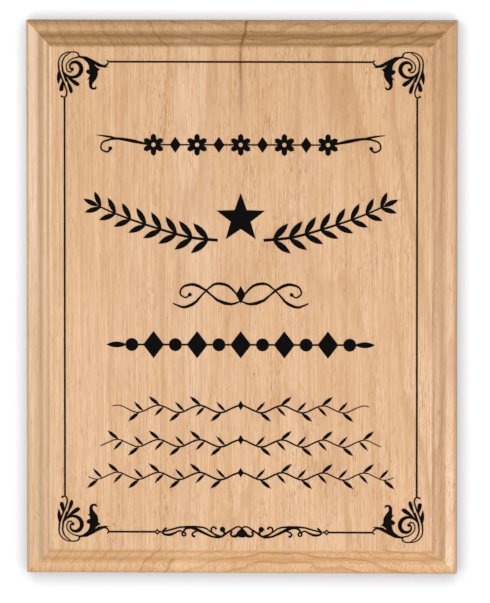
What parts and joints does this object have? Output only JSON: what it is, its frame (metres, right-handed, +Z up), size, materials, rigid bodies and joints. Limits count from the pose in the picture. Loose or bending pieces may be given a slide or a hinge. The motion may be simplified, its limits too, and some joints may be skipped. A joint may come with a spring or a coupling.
{
  "type": "wall plaque",
  "caption": "Upright rectangular wooden plaque with a routed moulding all round, black scrollwork and ornament on its face, and a keyhole hanger let into its back.",
  "frame": {"origin": "centre of the flat back face, which lies against the wall", "axes": "+X across the plaque to the right as seen from the front, +Y out of its back into the wall, +Z up its height"},
  "size_m": [0.1778, 0.0192, 0.2286],
  "materials": {
    "alder": "clear satin lacquer over straight-grained red alder",
    "black_enamel": "matt black enamel",
    "zinc_plate": "pressed steel, bright zinc plated",
    "screw_steel": "zinc plated steel"
  },
  "bodies": {
    "root": {"stave_left": "alder", "stave_right": "alder", "hanger_plate": "zinc_plate", "hanger_screw_upper": "screw_steel", "hanger_screw_lower": "screw_steel", "border_rule_top": "black_enamel", "border_rule_left": "black_enamel", "border_rule_right": "black_enamel", "border_rule_bottom_left": "black_enamel", "border_rule_bottom_right": "black_enamel", "corner_scroll_top_left": "black_enamel", "corner_scroll_top_right": "black_enamel", "corner_scroll_bottom_left": "black_enamel", "corner_scroll_bottom_right": "black_enamel", "foot_ornament": "black_enamel", "upper_band": "black_enamel", "laurel_left": "black_enamel", "laurel_right": "black_enamel", "award_star": "black_enamel", "flourish": "black_enamel", "lower_band": "black_enamel", "vine_upper": "black_enamel", "vine_middle": "black_enamel", "vine_lower": "black_enamel"}
  },
  "joints": []
}
